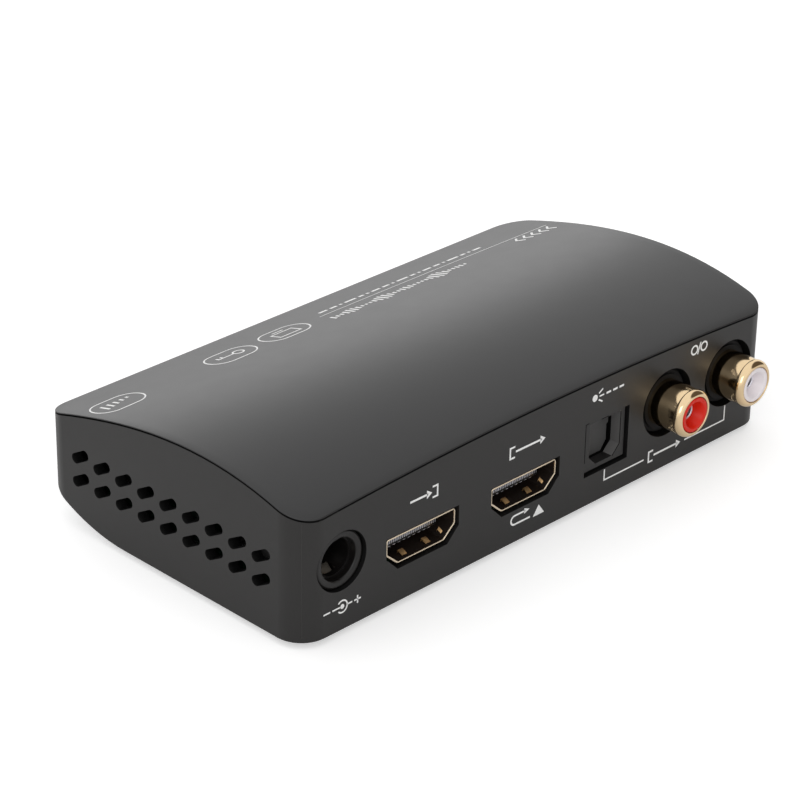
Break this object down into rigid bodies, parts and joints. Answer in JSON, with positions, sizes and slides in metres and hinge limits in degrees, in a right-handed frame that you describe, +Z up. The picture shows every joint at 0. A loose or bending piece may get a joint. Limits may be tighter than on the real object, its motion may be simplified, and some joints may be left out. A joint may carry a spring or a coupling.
{
  "type": "hdmi audio extractor",
  "caption": "Flat black signal box with an arched cover, vented ends, HDMI in and out, a shuttered optical socket, phono sockets, a DC inlet and front controls.",
  "frame": {"origin": "on the surface that the feet stand on, under the middle of the whole object", "axes": "+X along the row of sockets toward the power inlet's end, +Y out of the socket face, +Z up"},
  "size_m": [0.1106, 0.0676, 0.0275],
  "materials": {
    "case_plastic": "satin black, finely textured",
    "cover_plastic": "satin black, finely textured",
    "rubber": "matte",
    "steel": "plated",
    "gold": "gold plated, bright",
    "socket_plastic": "satin",
    "red_plastic": "gloss",
    "white_plastic": "gloss",
    "board": "green solder mask",
    "chip_plastic": "moulded",
    "pad": "soft",
    "heat_sink": "black anodised",
    "coil": "moulded ferrite",
    "can": "satin",
    "passive": "ceramic",
    "lamp_clear": "clear"
  },
  "bodies": {
    "box": {"bottom_case": "case_plastic", "top_cover": "cover_plastic", "rubber_feet": "rubber", "case_screws": "steel", "board_screws": "steel", "circuit_board": "board", "video_in_shell": "gold", "video_in_tongue": "socket_plastic", "video_in_contacts": "steel", "video_out_shell": "gold", "video_out_tongue": "socket_plastic", "video_out_contacts": "steel", "inlet_body": "socket_plastic", "inlet_pin": "steel", "inlet_leaf": "steel", "optical_body": "socket_plastic", "optical_emitter": "chip_plastic", "red_phono_base": "socket_plastic", "red_phono_sleeve": "gold", "red_phono_insert": "red_plastic", "red_phono_contact": "gold", "white_phono_base": "socket_plastic", "white_phono_sleeve": "gold", "white_phono_insert": "white_plastic", "white_phono_contact": "gold", "switch_body": "steel", "button_body": "chip_plastic", "lamp_lenses": "lamp_clear", "lamp_holders": "chip_plastic", "signal_chip": "chip_plastic", "thermal_pad": "pad", "heat_sink": "heat_sink", "sound_chip": "chip_plastic", "control_chip": "chip_plastic", "chip_legs": "steel", "regulator": "chip_plastic", "coils": "coil", "capacitors": "can", "crystal": "can", "small_passives": "passive"},
    "shutter": {"optical_shutter": "socket_plastic"},
    "knob": {"switch_knob": "socket_plastic"},
    "button": {"button_cap": "socket_plastic", "button_plunger": "steel"}
  },
  "joints": [
    {"name": "shutter_hinge", "type": "hinge", "parent": "box", "child": "shutter", "pos_m": [-0.0138, 0.02455, 0.0162], "axis": [-1, 0, 0], "range_deg": [0, 85], "stiffness_Nm_per_rad": 0.0002},
    {"name": "switch_slide", "type": "slide", "parent": "box", "child": "knob", "axis": [1, 0, 0], "range_m": [-0.002, 0.002]},
    {"name": "button_press", "type": "slide", "parent": "box", "child": "button", "axis": [0, 1, 0], "range_m": [0, 0.0005], "stiffness_N_per_m": 300}
  ]
}
